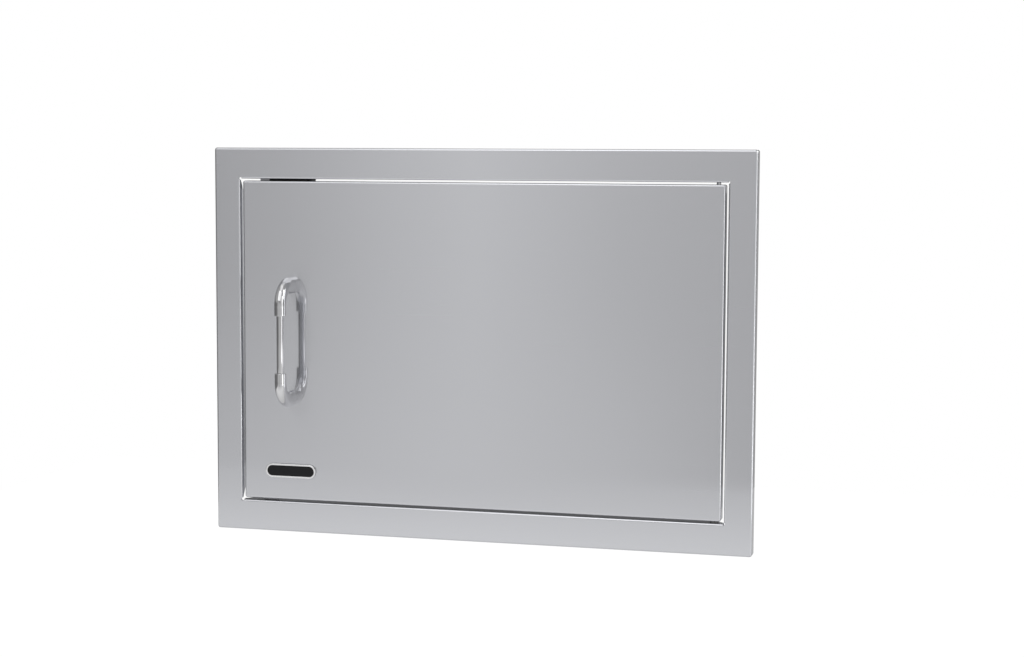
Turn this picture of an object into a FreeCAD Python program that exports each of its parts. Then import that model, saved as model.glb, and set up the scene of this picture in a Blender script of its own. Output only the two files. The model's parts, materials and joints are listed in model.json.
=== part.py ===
import FreeCAD, Part
import math
import os

os.makedirs("parts", exist_ok=True)

# Island access door: a folded stainless face frame whose neck goes through the island's
# wall, and a horizontal door that hangs on two upright pins at its right-hand side.
# Millimetres. X to the right, Y into the island, Z up. The origin is the middle of the
# cut-out, in the plane of the island's face, where the rear rim of the flange rests.

# Face frame
panel_width = 609.6
panel_height = 431.8
flange_depth = 15.0
frame_sheet = 1.5
frame_bend = 2.2
frame_corner = 2.6
flange_side = 30.4
flange_end = 34.4
neck_depth = 50.0

# Where the neck's walls meet: a relief hole at the bends, then ends cut away on the slant
corner_relief = 1.5
corner_slit = 0.8
side_slant = 11.0
side_slant_depth = 7.0
end_slant = 9.0
end_slant_depth = 9.0
end_slant_start = 4.6

# Screw holes through the neck's side walls, for fixing to the island
wall_hole_radius = 2.5
wall_hole_spacing = 240.0
wall_hole_depth = 20.0

# Door
gap_side = 3.2
gap_end = 2.35
door_depth = 14.0
door_sheet = 1.2
door_bend = 2.0
door_corner = 2.2
liner_sheet = 0.8
liner_bend = 1.2
liner_corner = 1.4
liner_lip = 9.0
liner_fit = 0.1

# Stiffening channel behind the middle of the door skin
channel_sheet = 1.0
channel_crown = 40.0
channel_foot = 12.0
channel_end_gap = 12.0

# Hinge: both pins stand on one upright axis
hinge_inset = 8.2
hinge_behind_middle = 1.0
pin_radius = 2.38
running_fit = 0.05
hinge_plate_sheet = 2.0
hinge_plate_length = 29.0
hinge_plate_end_gap = 2.4
hinge_plate_bend_gap = 0.3
hinge_plate_rear = 6.0
bushing_wall = 1.25
bushing_flange_radius = 4.8
bushing_flange_sheet = 1.0
bushing_fit = 0.05
lower_bushing_length = 8.0
washer_sheet = 1.0
thrust_gap = 0.3
lower_pin_reach = 14.0
lower_pin_head_radius = 4.4
lower_pin_head = 1.6

# Sprung release pin in the door's upper corner
pin_above_bushing = 0.8
pin_point = 0.6
release_travel = 8.5
carrier_sheet = 1.5
carrier_side = 5.5
carrier_side_gap = 0.6
carrier_top_gap = 3.0
carrier_rear_gap = 1.2
collar_radius = 4.0
collar_height = 2.0
collar_gap = 0.8
spring_length = 24.0
spring_wire = 0.7
spring_radius = 3.75
spring_coils = 8
spring_end_gap = 0.1
clip_sheet = 0.8
clip_radius = 4.4
clip_groove = 0.5
clip_gap = 0.3
clip_mouth = 3.2
pin_tail = 1.9
tab_sheet = 1.5
tab_width = 8.0
tab_reach = 8.0
tab_lip = 7.0
tab_front = 4.0
tab_bend = 1.4
pin_pass_gap = 0.3
window_side_gap = 1.2
window_end_gap = 1.5

# Pull handle
handle_inset = 56.8
handle_drop = 0.5
handle_spacing = 127.0
handle_standoff = 33.8
elbow_bend = 22.0
elbow_radius = 6.3
foot_radius = 9.2
socket_length = 9.6
socket_edge = 0.5
grip_radius = 4.0
grip_wall = 1.0
grip_seat = 9.0
grip_end_gap = 0.4
grip_fit = 0.05
elbow_steps = 8
leg_steps = 3

# Screws that hold the handle, with their washers and the plugs over their access holes
handle_screw_radius = 2.0
handle_screw_reach = 9.0
handle_screw_head_radius = 3.8
handle_screw_head = 2.6
screw_drive_radius = 1.5
screw_drive_depth = 1.4
handle_hole_gap = 0.3
handle_washer_radius = 6.0
handle_washer_sheet = 1.0
access_radius = 7.0
plug_flange_radius = 8.6
plug_flange_sheet = 0.9
plug_depth = 3.0
plug_wall = 1.0
plug_fit = 0.15

# Badge, bare
badge_inset = 56.0
badge_above_edge = 32.85
badge_length = 59.0
badge_height = 15.5
badge_pad_sheet = 0.8
badge_pad_inset = 1.0
badge_floor = 0.8
badge_rim = 1.9
badge_rise = 1.4
badge_rim_round = 0.55
badge_recess = 0.5
badge_infill_gap = 0.05

# Magnetic catch under the top of the neck
catch_inset = 53.6
catch_width = 50.6
catch_height = 15.0
catch_body = 14.0
catch_edge = 0.8
catch_top_gap = 0.3
pole_width = 34.0
pole_sheet = 1.5
pole_proud = 0.7
pole_depth = 10.0
pole_gap = 0.3
magnet_height = 7.0
magnet_setback = 1.2
pocket_fit = 0.1
strike_width = 52.0
strike_height = 12.3
strike_top_gap = 0.1
strike_sheet = 1.5
strike_corner = 2.0
strike_rivet_spacing = 43.0
strike_rivet_radius = 1.6
strike_rivet_head_radius = 2.9
strike_rivet_tail_radius = 2.4
strike_rivet_tail = 1.0
bracket_sheet = 1.5
bracket_overhang = 16.0
bracket_short = 5.5
bracket_height = 18.0
bracket_leg = 14.0
catch_screw_spacing = 28.0
catch_screw_radius = 1.6
catch_screw_reach = 4.0
catch_screw_head_radius = 3.0
catch_screw_head = 1.8
small_drive_radius = 1.1
small_drive_depth = 0.9

# Door stop on the floor of the neck
stop_inset = 28.4
stop_width = 20.0
stop_height = 17.0
stop_leg = 18.0
bumper_radius = 5.0
bumper_length = 3.0
bumper_round = 1.2
bumper_stem_radius = 1.9
bumper_stem_fit = 0.1
bumper_tail_radius = 2.7
bumper_tail = 1.4
bumper_gap = 0.3

# Rivets that hold the catch bracket and the door stop
rivet_radius = 1.6
rivet_head_radius = 3.0
rivet_head = 1.1
rivet_tail_radius = 2.5
rivet_tail = 1.0
rivet_fit = 0.05
bracket_rivet_spacing = 46.0
stop_rivet_spacing = 11.0

# Faces and axes that the pieces share
half_opening_x = panel_width / 2 - flange_side
half_opening_z = panel_height / 2 - flange_end
front_y = -flange_depth
neck_rear_y = front_y + neck_depth
door_half_x = half_opening_x - gap_side
door_half_z = half_opening_z - gap_end
door_inner_y = front_y + door_sheet
door_rear_y = front_y + door_depth
liner_inner_y = door_rear_y - liner_sheet
liner_half_x = door_half_x - door_sheet - liner_fit
liner_half_z = door_half_z - door_sheet - liner_fit
hinge_x = door_half_x - hinge_inset
hinge_y = front_y + door_depth / 2 + hinge_behind_middle
neck_outer_z = half_opening_z + frame_sheet
plate_outer_z = neck_outer_z + hinge_plate_sheet
bushing_radius = pin_radius + running_fit + bushing_wall
bushing_bore = pin_radius + running_fit
lower_bushing_flange = gap_end - washer_sheet - thrust_gap
pin_top_z = plate_outer_z + bushing_flange_sheet + pin_above_bushing
ear_high_z = liner_half_z - liner_sheet - carrier_top_gap
ear_low_z = ear_high_z - carrier_sheet
collar_high_z = ear_low_z - collar_gap
tab_high_z = collar_high_z - collar_height
tab_low_z = tab_high_z - tab_sheet
spring_low_z = tab_low_z - spring_length
foot_ear_low_z = spring_low_z - carrier_sheet
clip_high_z = foot_ear_low_z - clip_gap
clip_low_z = clip_high_z - clip_sheet
pin_low_z = clip_low_z - pin_tail
carrier_rear_y = liner_inner_y - carrier_rear_gap
handle_x = -door_half_x + handle_inset
handle_z = -handle_drop
grip_y = front_y - handle_standoff
socket_end_z = handle_spacing / 2 - elbow_bend - socket_length
badge_x = -door_half_x + badge_inset
badge_z = -door_half_z + badge_above_edge
strike_z = door_half_z - strike_top_gap - strike_height / 2
strike_rear_y = door_rear_y + strike_sheet
pole_front_y = strike_rear_y + pole_gap
catch_front_y = pole_front_y + pole_proud
catch_rear_y = catch_front_y + catch_body
catch_x = -half_opening_x + catch_inset
catch_top_z = half_opening_z - catch_top_gap
catch_z = catch_top_z - catch_height / 2
bracket_rear_y = catch_rear_y + bracket_sheet
bracket_rivet_y = bracket_rear_y + bracket_leg / 2
stop_x = -half_opening_x + stop_inset
stop_face_y = door_rear_y + bumper_gap + bumper_length
stop_rivet_y = stop_face_y + bracket_sheet + (stop_leg - bracket_sheet) / 2
bumper_z = -half_opening_z + stop_height - bumper_radius - bracket_sheet

right = FreeCAD.Vector(1, 0, 0)
back = FreeCAD.Vector(0, 1, 0)
up = FreeCAD.Vector(0, 0, 1)
overrun = 5.0
tolerance = 0.001


def point(x, y, z):
    return FreeCAD.Vector(x, y, z)


def block(x_low, x_high, y_low, y_high, z_low, z_high):
    size = (x_high - x_low, y_high - y_low, z_high - z_low)
    return Part.makeBox(*size, point(x_low, y_low, z_low))


def upright(radius, x, y, z_low, z_high):
    return Part.makeCylinder(radius, z_high - z_low, point(x, y, z_low), up)


def level(radius, x, z, y_low, y_high):
    return Part.makeCylinder(radius, y_high - y_low, point(x, y_low, z), back)


def joined(shapes):
    return shapes[0].multiFuse(shapes[1:]).removeSplitter()


def without(shape, tools):
    for tool in tools:
        shape = shape.cut(tool)
    return shape.removeSplitter()


def edges_where(shape, test):
    return [edge for edge in shape.Edges if test(edge)]


def lies_at(edge, axis, value):
    """True for an edge whose ends and middle all have this coordinate."""
    places = [vertex.Point for vertex in edge.Vertexes] + [edge.CenterOfMass]
    return all(abs(place[axis] - value) < tolerance for place in places)


def runs_along(edge, axis):
    if len(edge.Vertexes) < 2:
        return False
    span = edge.Vertexes[1].Point - edge.Vertexes[0].Point
    return span.Length > 0 and abs(abs(span[axis]) - span.Length) < tolerance


# A rectangular block about the Y axis, with its four depth edges and the edges of its
# floor face rounded
def soft_block(half_x, half_z, floor_y, mouth_y, corner, bend):
    low, high = sorted((floor_y, mouth_y))
    shape = block(-half_x, half_x, low, high, -half_z, half_z)
    shape = shape.makeFillet(corner, edges_where(shape, lambda edge: runs_along(edge, 1)))
    return shape.makeFillet(bend, edges_where(shape, lambda edge: lies_at(edge, 1, floor_y)))


# A shallow folded pan: a floor and four walls of one sheet
def folded_pan(half_x, half_z, floor_y, mouth_y, sheet, corner, bend):
    inward = math.copysign(sheet, mouth_y - floor_y)
    beyond = math.copysign(overrun, mouth_y - floor_y)
    outer = soft_block(half_x, half_z, floor_y, mouth_y, corner, bend)
    inner = soft_block(half_x - sheet, half_z - sheet, floor_y + inward, mouth_y + beyond,
                       corner - sheet, bend - sheet)
    return outer.cut(inner)


# The three-cornered strip between a sharp edge and an arc of this radius
def edge_strip(corner, arm_a, arm_b, radius, along, length):
    end_a = corner + arm_a * radius
    end_b = corner + arm_b * radius
    middle = corner + (arm_a + arm_b) * radius * (1 - math.sqrt(0.5))
    edges = [Part.LineSegment(corner, end_a).toShape(),
             Part.Arc(end_a, middle, end_b).toShape(),
             Part.LineSegment(end_b, corner).toShape()]
    return Part.Face(Part.Wire(edges)).extrude(along * length)


# The strips along the four edges of a rectangle about the Y axis, with one arm pointing
# outwards and the other into the island, and with the half lengths of the strips
def frame_strips(half_x, half_z, y, radius, reach_x, reach_z):
    strips = []
    for side in (-1, 1):
        upright_corner = point(side * half_x, y, -reach_z)
        level_corner = point(-reach_x, y, side * half_z)
        strips.append(edge_strip(upright_corner, right * side, back, radius, up, 2 * reach_z))
        strips.append(edge_strip(level_corner, up * side, back, radius, right, 2 * reach_x))
    return strips


def corner_signs():
    return [(x, z) for x in (-1, 1) for z in (-1, 1)]


def prism(corners, along):
    edges = [Part.LineSegment(start, end).toShape()
             for start, end in zip(corners, corners[1:] + corners[:1])]
    return Part.Face(Part.Wire(edges)).extrude(along)


# What is cut off one end of a side wall of the neck
def side_wall_slant(side_x, side_z):
    x = side_x * half_opening_x
    start_y = front_y + frame_bend
    far_y = neck_rear_y + overrun
    end_z = side_z * (half_opening_z - corner_slit)
    inner_z = end_z - side_z * side_slant
    far_z = side_z * (neck_outer_z + overrun)
    corners = [point(x, start_y, end_z), point(x, start_y + side_slant_depth, inner_z),
               point(x, far_y, inner_z), point(x, far_y, far_z), point(x, start_y, far_z)]
    return prism(corners, right * side_x * (frame_sheet + overrun))


# What is cut off one end of the top wall or the floor of the neck
def end_wall_slant(side_x, side_z, thickness):
    z = side_z * half_opening_z
    start_y = front_y + frame_bend + end_slant_start
    far_y = neck_rear_y + overrun
    end_x = side_x * half_opening_x
    inner_x = end_x - side_x * end_slant
    corners = [point(end_x, start_y, z), point(inner_x, start_y + end_slant_depth, z),
               point(inner_x, far_y, z), point(end_x, far_y, z)]
    return prism(corners, up * side_z * thickness)


def face_frame():
    """Flange, outer returns and neck, all folded from one sheet."""
    outer_x = half_opening_x + frame_sheet
    flange = folded_pan(panel_width / 2, panel_height / 2, front_y, 0, frame_sheet,
                        frame_corner, frame_bend)
    neck = block(-outer_x, outer_x, front_y, neck_rear_y, -neck_outer_z, neck_outer_z)
    fills = frame_strips(outer_x, neck_outer_z, front_y + frame_sheet, frame_bend - frame_sheet,
                         half_opening_x, half_opening_z - corner_slit)
    bends = frame_strips(half_opening_x, half_opening_z, front_y, frame_bend,
                         half_opening_x, half_opening_z)
    inside = block(-half_opening_x, half_opening_x, front_y - overrun, neck_rear_y + overrun,
                   -half_opening_z, half_opening_z)
    shape = joined([flange, neck] + fills)
    cuts = [inside] + bends
    for side_x, side_z in corner_signs():
        x = side_x * half_opening_x
        z = side_z * half_opening_z
        cuts.append(level(corner_relief, x, z, front_y - overrun, front_y + frame_bend + overrun))
        cuts.append(side_wall_slant(side_x, side_z))
        cuts.append(end_wall_slant(side_x, side_z, frame_sheet))
    for side in (-1, 1):
        for end in (-1, 1):
            start = point(side * half_opening_x - overrun, wall_hole_depth,
                          end * wall_hole_spacing / 2)
            cuts.append(Part.makeCylinder(wall_hole_radius, 2 * overrun, start, right))
    cuts.append(upright(bushing_radius + bushing_fit, hinge_x, hinge_y,
                        half_opening_z - overrun, neck_outer_z + overrun))
    cuts.append(upright(pin_radius + bushing_fit, hinge_x, hinge_y,
                        -neck_outer_z - overrun, -half_opening_z + overrun))
    for x, y, z in frame_rivet_places():
        cuts.append(upright(rivet_radius + rivet_fit, x, y, z - overrun, z + overrun))
    return without(shape, cuts)


def hinge_plate(side, hole_radius):
    """Doubling plate on the outside of the neck, upper or lower."""
    z_low, z_high = sorted((side * neck_outer_z, side * plate_outer_z))
    x_high = half_opening_x - hinge_plate_end_gap
    y_low = front_y + frame_bend + hinge_plate_bend_gap
    plate = block(x_high - hinge_plate_length, x_high, y_low, hinge_y + hinge_plate_rear,
                  z_low, z_high)
    cuts = [upright(hole_radius, hinge_x, hinge_y, z_low - overrun, z_high + overrun),
            end_wall_slant(1, side, frame_sheet + hinge_plate_sheet)]
    return without(plate, cuts)


def upper_hinge_bushing():
    sleeve = upright(bushing_radius, hinge_x, hinge_y, half_opening_z, plate_outer_z)
    flange_top = plate_outer_z + bushing_flange_sheet
    flange = upright(bushing_flange_radius, hinge_x, hinge_y, plate_outer_z, flange_top)
    bore = upright(bushing_bore, hinge_x, hinge_y, half_opening_z - overrun,
                   flange_top + overrun)
    return joined([sleeve, flange]).cut(bore)


def lower_hinge_bushing():
    bottom = -door_half_z - lower_bushing_flange
    top = -door_half_z + lower_bushing_length
    sleeve = upright(bushing_radius, hinge_x, hinge_y, -door_half_z, top)
    flange = upright(bushing_flange_radius, hinge_x, hinge_y, bottom, -door_half_z)
    bore = upright(bushing_bore, hinge_x, hinge_y, bottom - overrun, top + overrun)
    return joined([sleeve, flange]).cut(bore)


def lower_thrust_washer():
    top = -half_opening_z + washer_sheet
    washer = upright(bushing_flange_radius, hinge_x, hinge_y, -half_opening_z, top)
    return washer.cut(upright(bushing_bore, hinge_x, hinge_y, -half_opening_z - overrun,
                              top + overrun))


def lower_hinge_pin():
    """Headed pin that stands up through the floor of the neck."""
    top = -half_opening_z + lower_pin_reach
    shank = upright(pin_radius, hinge_x, hinge_y, -plate_outer_z, top)
    shank = shank.makeChamfer(pin_point, edges_where(shank, lambda edge: lies_at(edge, 2, top)))
    head = upright(lower_pin_head_radius, hinge_x, hinge_y, -plate_outer_z - lower_pin_head,
                   -plate_outer_z)
    return joined([shank, head])


def door_skin():
    """Front of the door: one sheet with four walls turned back."""
    pan = folded_pan(door_half_x, door_half_z, front_y, door_rear_y, door_sheet, door_corner,
                     door_bend)
    cuts = [upright(pin_radius + pin_pass_gap, hinge_x, hinge_y, door_half_z - overrun,
                    door_half_z + overrun),
            upright(bushing_radius + bushing_fit, hinge_x, hinge_y, -door_half_z - overrun,
                    -door_half_z + overrun)]
    for x, z in handle_feet():
        cuts.append(level(handle_screw_radius + handle_hole_gap, x, z, front_y - overrun,
                          door_inner_y + overrun))
    return without(pan, cuts)


def door_liner():
    """Back of the door: a shallow pan that nests inside the skin's walls."""
    pan = folded_pan(liner_half_x, liner_half_z, door_rear_y, door_rear_y - liner_lip,
                     liner_sheet, liner_corner, liner_bend)
    window_half = tab_width / 2 + window_side_gap
    cuts = [upright(pin_radius + pin_pass_gap, hinge_x, hinge_y, door_half_z - overrun,
                    door_half_z + overrun),
            upright(bushing_radius + bushing_fit, hinge_x, hinge_y, -door_half_z - overrun,
                    -door_half_z + lower_bushing_length + overrun),
            block(hinge_x - window_half, hinge_x + window_half, liner_inner_y - overrun,
                  door_rear_y + overrun, tab_low_z - release_travel - window_end_gap,
                  tab_high_z + window_end_gap)]
    for x, z in handle_feet():
        cuts.append(level(access_radius, x, z, liner_inner_y - overrun, door_rear_y + overrun))
    for x in strike_rivet_xs():
        cuts.append(level(strike_rivet_radius + rivet_fit, x, strike_z, liner_inner_y - overrun,
                          door_rear_y + overrun))
    return without(pan, cuts)


def door_stiffener():
    """Upright hat channel between the skin and the liner."""
    half_z = liner_half_z - channel_end_gap
    half_crown = channel_crown / 2
    half_all = half_crown + channel_foot
    feet = block(-half_all, half_all, door_inner_y, door_inner_y + channel_sheet, -half_z,
                 half_z)
    body = block(-half_crown, half_crown, door_inner_y, liner_inner_y, -half_z, half_z)
    hollow = block(-half_crown + channel_sheet, half_crown - channel_sheet,
                   door_inner_y - overrun, liner_inner_y - channel_sheet, -half_z - overrun,
                   half_z + overrun)
    return joined([feet, body]).cut(hollow)


def pin_carrier():
    """Bracket welded inside the skin, with two ears that guide the release pin."""
    x_low = hinge_x - carrier_side
    x_high = liner_half_x - liner_sheet - carrier_side_gap
    web = block(x_low, x_high, door_inner_y, door_inner_y + carrier_sheet, foot_ear_low_z,
                ear_high_z)
    ears = [block(x_low, x_high, door_inner_y, carrier_rear_y, low, low + carrier_sheet)
            for low in (foot_ear_low_z, ear_low_z)]
    bore = upright(bushing_bore, hinge_x, hinge_y, foot_ear_low_z - overrun,
                   ear_high_z + overrun)
    return joined([web] + ears).cut(bore)


def upper_hinge_pin():
    shank = upright(pin_radius, hinge_x, hinge_y, pin_low_z, pin_top_z)
    ends = edges_where(shank, lambda edge: lies_at(edge, 2, pin_top_z) or
                       lies_at(edge, 2, pin_low_z))
    shank = shank.makeChamfer(pin_point, ends)
    collar = upright(collar_radius, hinge_x, hinge_y, tab_high_z, collar_high_z)
    band = upright(pin_radius + overrun, hinge_x, hinge_y, clip_low_z, clip_high_z)
    core = upright(pin_radius - clip_groove, hinge_x, hinge_y, clip_low_z, clip_high_z)
    return joined([shank, collar]).cut(band.cut(core))


def pin_finger_tab():
    """Plate on the pin that comes out through the liner, with a lip to pull down."""
    x_low = hinge_x - tab_width / 2
    x_high = hinge_x + tab_width / 2
    y_end = door_rear_y + tab_reach
    plate = block(x_low, x_high, hinge_y - tab_front, y_end, tab_low_z, tab_high_z)
    lip = block(x_low, x_high, y_end - tab_sheet, y_end, tab_high_z - tab_lip, tab_high_z)
    tab = joined([plate, lip])
    heel = edges_where(tab, lambda edge: runs_along(edge, 0) and lies_at(edge, 1, y_end) and
                       lies_at(edge, 2, tab_high_z))
    tab = tab.makeFillet(tab_bend, heel)
    return tab.cut(upright(bushing_bore, hinge_x, hinge_y, tab_low_z - overrun,
                           tab_high_z + overrun))


def pin_retaining_clip():
    ring = upright(clip_radius, hinge_x, hinge_y, clip_low_z, clip_high_z)
    bore = upright(pin_radius - clip_groove, hinge_x, hinge_y, clip_low_z - overrun,
                   clip_high_z + overrun)
    mouth = block(hinge_x - clip_radius - overrun, hinge_x, hinge_y - clip_mouth / 2,
                  hinge_y + clip_mouth / 2, clip_low_z - overrun, clip_high_z + overrun)
    return ring.cut(bore).cut(mouth)


def pin_spring():
    """Open coil between the lower ear and the finger tab."""
    low = spring_low_z + spring_end_gap + spring_wire / 2
    height = spring_length - 2 * spring_end_gap - spring_wire
    helix = Part.makeHelix(height / spring_coils, height, spring_radius)
    circle = Part.Circle(point(spring_radius, 0, 0), back, spring_wire / 2).toShape()
    coil = Part.Wire(helix.Edges).makePipeShell([Part.Wire([circle])], True, True)
    return coil.translate(point(hinge_x, hinge_y, low))


def handle_feet():
    return [(handle_x, handle_z + side * handle_spacing / 2) for side in (1, -1)]


def elbow_section(centre, across, radius):
    """Oval across the elbow's line, always as wide as the socket along X."""
    columns = (right * elbow_radius, across * radius, right.cross(across), centre)
    rows = [column[axis] for axis in range(3) for column in columns]
    circle = Part.Circle(point(0, 0, 0), up, 1).toShape()
    oval = circle.transformGeometry(FreeCAD.Matrix(*rows))
    return Part.Wire(oval.Edges)


# The upper elbow: a leg that comes off the door, turns down and tapers into the grip's socket
def upper_elbow():
    foot_z = handle_z + handle_spacing / 2
    leg = handle_standoff - elbow_bend
    sections = []
    for step in range(leg_steps):
        along = leg * step / leg_steps
        centre = point(handle_x, front_y - along, foot_z)
        sections.append(elbow_section(centre, up, foot_radius))
    for step in range(elbow_steps + 1):
        turned = step / elbow_steps
        angle = math.pi / 2 * turned
        centre = point(handle_x, front_y - leg - elbow_bend * math.sin(angle),
                       foot_z - elbow_bend * (1 - math.cos(angle)))
        across = up * math.cos(angle) - back * math.sin(angle)
        radius = foot_radius + (elbow_radius - foot_radius) * turned
        sections.append(elbow_section(centre, across, radius))
    horn = Part.makeLoft(sections, True, False)
    socket_high = foot_z - elbow_bend
    socket_low = handle_z + socket_end_z
    socket = upright(elbow_radius, handle_x, grip_y, socket_low, socket_high)
    rim = edges_where(socket, lambda edge: lies_at(edge, 2, socket_low))
    socket = socket.makeFillet(socket_edge, rim)
    bore = upright(grip_radius + grip_fit, handle_x, grip_y, socket_low - overrun,
                   socket_low + grip_seat + grip_end_gap)
    thread = level(handle_screw_radius, handle_x, foot_z,
                   front_y - handle_screw_reach - grip_end_gap, front_y + overrun)
    return joined([horn, socket]).cut(bore).cut(thread)


def lower_elbow():
    return upper_elbow().mirror(point(handle_x, grip_y, handle_z), up)


def handle_grip():
    """Round tube whose ends go up into the sockets."""
    half = socket_end_z + grip_seat
    tube = upright(grip_radius, handle_x, grip_y, handle_z - half, handle_z + half)
    return tube.cut(upright(grip_radius - grip_wall, handle_x, grip_y,
                            handle_z - half - overrun, handle_z + half + overrun))


# A pan-head screw along Y with its point at tip_y and the underside of its head at seat_y
def pan_screw(x, z, tip_y, seat_y, radius, head_radius, head, drive_radius, drive_depth):
    inward = math.copysign(1, seat_y - tip_y)
    shank_low, shank_high = sorted((tip_y, seat_y))
    head_low, head_high = sorted((seat_y, seat_y + inward * head))
    top_y = seat_y + inward * head
    shank = level(radius, x, z, shank_low, shank_high)
    cap = level(head_radius, x, z, head_low, head_high)
    cap = cap.makeFillet(head / 2, edges_where(cap, lambda edge: lies_at(edge, 1, top_y)))
    drive_low, drive_high = sorted((top_y - inward * drive_depth, top_y + inward * overrun))
    drive = level(drive_radius, x, z, drive_low, drive_high)
    return joined([shank, cap]).cut(drive)


def handle_screws():
    seat = door_inner_y + handle_washer_sheet
    return [pan_screw(x, z, front_y - handle_screw_reach, seat, handle_screw_radius,
                      handle_screw_head_radius, handle_screw_head, screw_drive_radius,
                      screw_drive_depth) for x, z in handle_feet()]


def handle_washers():
    shapes = []
    for x, z in handle_feet():
        washer = level(handle_washer_radius, x, z, door_inner_y,
                       door_inner_y + handle_washer_sheet)
        hole = level(handle_screw_radius + handle_hole_gap, x, z, door_inner_y - overrun,
                     door_inner_y + overrun)
        shapes.append(washer.cut(hole))
    return shapes


def liner_plugs():
    """Caps pressed into the holes through which the handle's screws are driven."""
    shapes = []
    top = door_rear_y + plug_flange_sheet
    for x, z in handle_feet():
        flange = level(plug_flange_radius, x, z, door_rear_y, top)
        flange = flange.makeFillet(plug_flange_sheet / 2,
                                   edges_where(flange, lambda edge: lies_at(edge, 1, top)))
        stem = level(access_radius - plug_fit, x, z, door_rear_y - plug_depth, door_rear_y)
        hollow = level(access_radius - plug_fit - plug_wall, x, z,
                       door_rear_y - plug_depth - overrun, door_rear_y - plug_wall)
        shapes.append(joined([flange, stem]).cut(hollow))
    return shapes


# A flat bar with half-round ends, standing off the door between two depths
def stadium(length, height, y_low, y_high):
    radius = height / 2
    half = length / 2 - radius
    bar = block(badge_x - half, badge_x + half, y_low, y_high, badge_z - radius,
                badge_z + radius)
    ends = [level(radius, badge_x + side * half, badge_z, y_low, y_high) for side in (-1, 1)]
    return joined([bar] + ends)


def badge_pad():
    inset = 2 * badge_pad_inset
    return stadium(badge_length - inset, badge_height - inset, front_y - badge_pad_sheet,
                   front_y)


def badge_bezel():
    """Shallow tray with a raised rim."""
    rear = front_y - badge_pad_sheet
    face = rear - badge_floor - badge_rise
    tray = stadium(badge_length, badge_height, face, rear)
    hollow = stadium(badge_length - 2 * badge_rim, badge_height - 2 * badge_rim,
                     face - overrun, rear - badge_floor)
    tray = tray.cut(hollow)
    return tray.makeFillet(badge_rim_round, edges_where(tray, lambda edge: lies_at(edge, 1, face)))


def badge_infill():
    inset = 2 * (badge_rim + badge_infill_gap)
    rear = front_y - badge_pad_sheet - badge_floor
    return stadium(badge_length - inset, badge_height - inset,
                   rear - badge_rise + badge_recess, rear)


def catch_housing():
    """Plastic body with a pocket in its front for the magnet and its pole plates."""
    half = catch_width / 2
    body = block(catch_x - half, catch_x + half, catch_front_y, catch_rear_y,
                 catch_top_z - catch_height, catch_top_z)
    body = body.makeFillet(catch_edge, body.Edges)
    half_pocket = magnet_height / 2 + pole_sheet + pocket_fit
    pocket = block(catch_x - pole_width / 2 - pocket_fit, catch_x + pole_width / 2 + pocket_fit,
                   catch_front_y - overrun, pole_front_y + pole_depth + pocket_fit,
                   catch_z - half_pocket, catch_z + half_pocket)
    cuts = [pocket]
    for x in catch_screw_xs():
        cuts.append(level(catch_screw_radius, x, catch_z,
                          catch_rear_y - catch_screw_reach - pocket_fit,
                          catch_rear_y + overrun))
    return without(body, cuts)


def catch_magnet():
    half = pole_width / 2
    return block(catch_x - half, catch_x + half, pole_front_y + magnet_setback,
                 pole_front_y + pole_depth, catch_z - magnet_height / 2,
                 catch_z + magnet_height / 2)


def catch_pole_plates():
    half = pole_width / 2
    shapes = []
    for side in (-1, 1):
        low, high = sorted((catch_z + side * magnet_height / 2,
                            catch_z + side * (magnet_height / 2 + pole_sheet)))
        shapes.append(block(catch_x - half, catch_x + half, pole_front_y,
                            pole_front_y + pole_depth, low, high))
    return shapes


def catch_screw_xs():
    return [catch_x + side * catch_screw_spacing / 2 for side in (-1, 1)]


def catch_screws():
    return [pan_screw(x, catch_z, catch_rear_y - catch_screw_reach, bracket_rear_y,
                      catch_screw_radius, catch_screw_head_radius, catch_screw_head,
                      small_drive_radius, small_drive_depth) for x in catch_screw_xs()]


def catch_bracket():
    """Angle under the top of the neck that carries the catch on its front."""
    x_low = catch_x - catch_width / 2 - bracket_overhang
    x_high = catch_x + catch_width / 2 - bracket_short
    plate = block(x_low, x_high, catch_rear_y, bracket_rear_y,
                  half_opening_z - bracket_height, half_opening_z)
    leg = block(x_low, x_high, catch_rear_y, bracket_rear_y + bracket_leg,
                half_opening_z - bracket_sheet, half_opening_z)
    cuts = [level(catch_screw_radius + rivet_fit, x, catch_z, catch_rear_y - overrun,
                  bracket_rear_y + overrun) for x in catch_screw_xs()]
    cuts += [upright(rivet_radius + rivet_fit, x, bracket_rivet_y,
                     half_opening_z - bracket_sheet - overrun, half_opening_z + overrun)
             for x in bracket_rivet_xs()]
    return without(joined([plate, leg]), cuts)


def bracket_rivet_xs():
    middle = catch_x - (bracket_overhang + bracket_short) / 2
    return [middle + side * bracket_rivet_spacing / 2 for side in (-1, 1)]


def stop_rivet_xs():
    return [stop_x + side * stop_rivet_spacing / 2 for side in (-1, 1)]


def frame_rivet_places():
    """Where rivets go through the neck: the top wall, then the floor."""
    top = [(x, bracket_rivet_y, half_opening_z) for x in bracket_rivet_xs()]
    floor = [(x, stop_rivet_y, -half_opening_z) for x in stop_rivet_xs()]
    return top + floor


def frame_rivets():
    """Round heads inside the neck and flattened tails outside it."""
    shapes = []
    for x, y, z in frame_rivet_places():
        outward = math.copysign(1, z)
        inner = z - outward * bracket_sheet
        outer = z + outward * frame_sheet
        head_end = inner - outward * rivet_head
        tail_end = outer + outward * rivet_tail
        shank = upright(rivet_radius, x, y, *sorted((inner, outer)))
        head = upright(rivet_head_radius, x, y, *sorted((inner, head_end)))
        head = head.makeFillet(rivet_head / 2,
                               edges_where(head, lambda edge: lies_at(edge, 2, head_end)))
        tail = upright(rivet_tail_radius, x, y, *sorted((outer, tail_end)))
        shapes.append(joined([head, shank, tail]))
    return shapes


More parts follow.
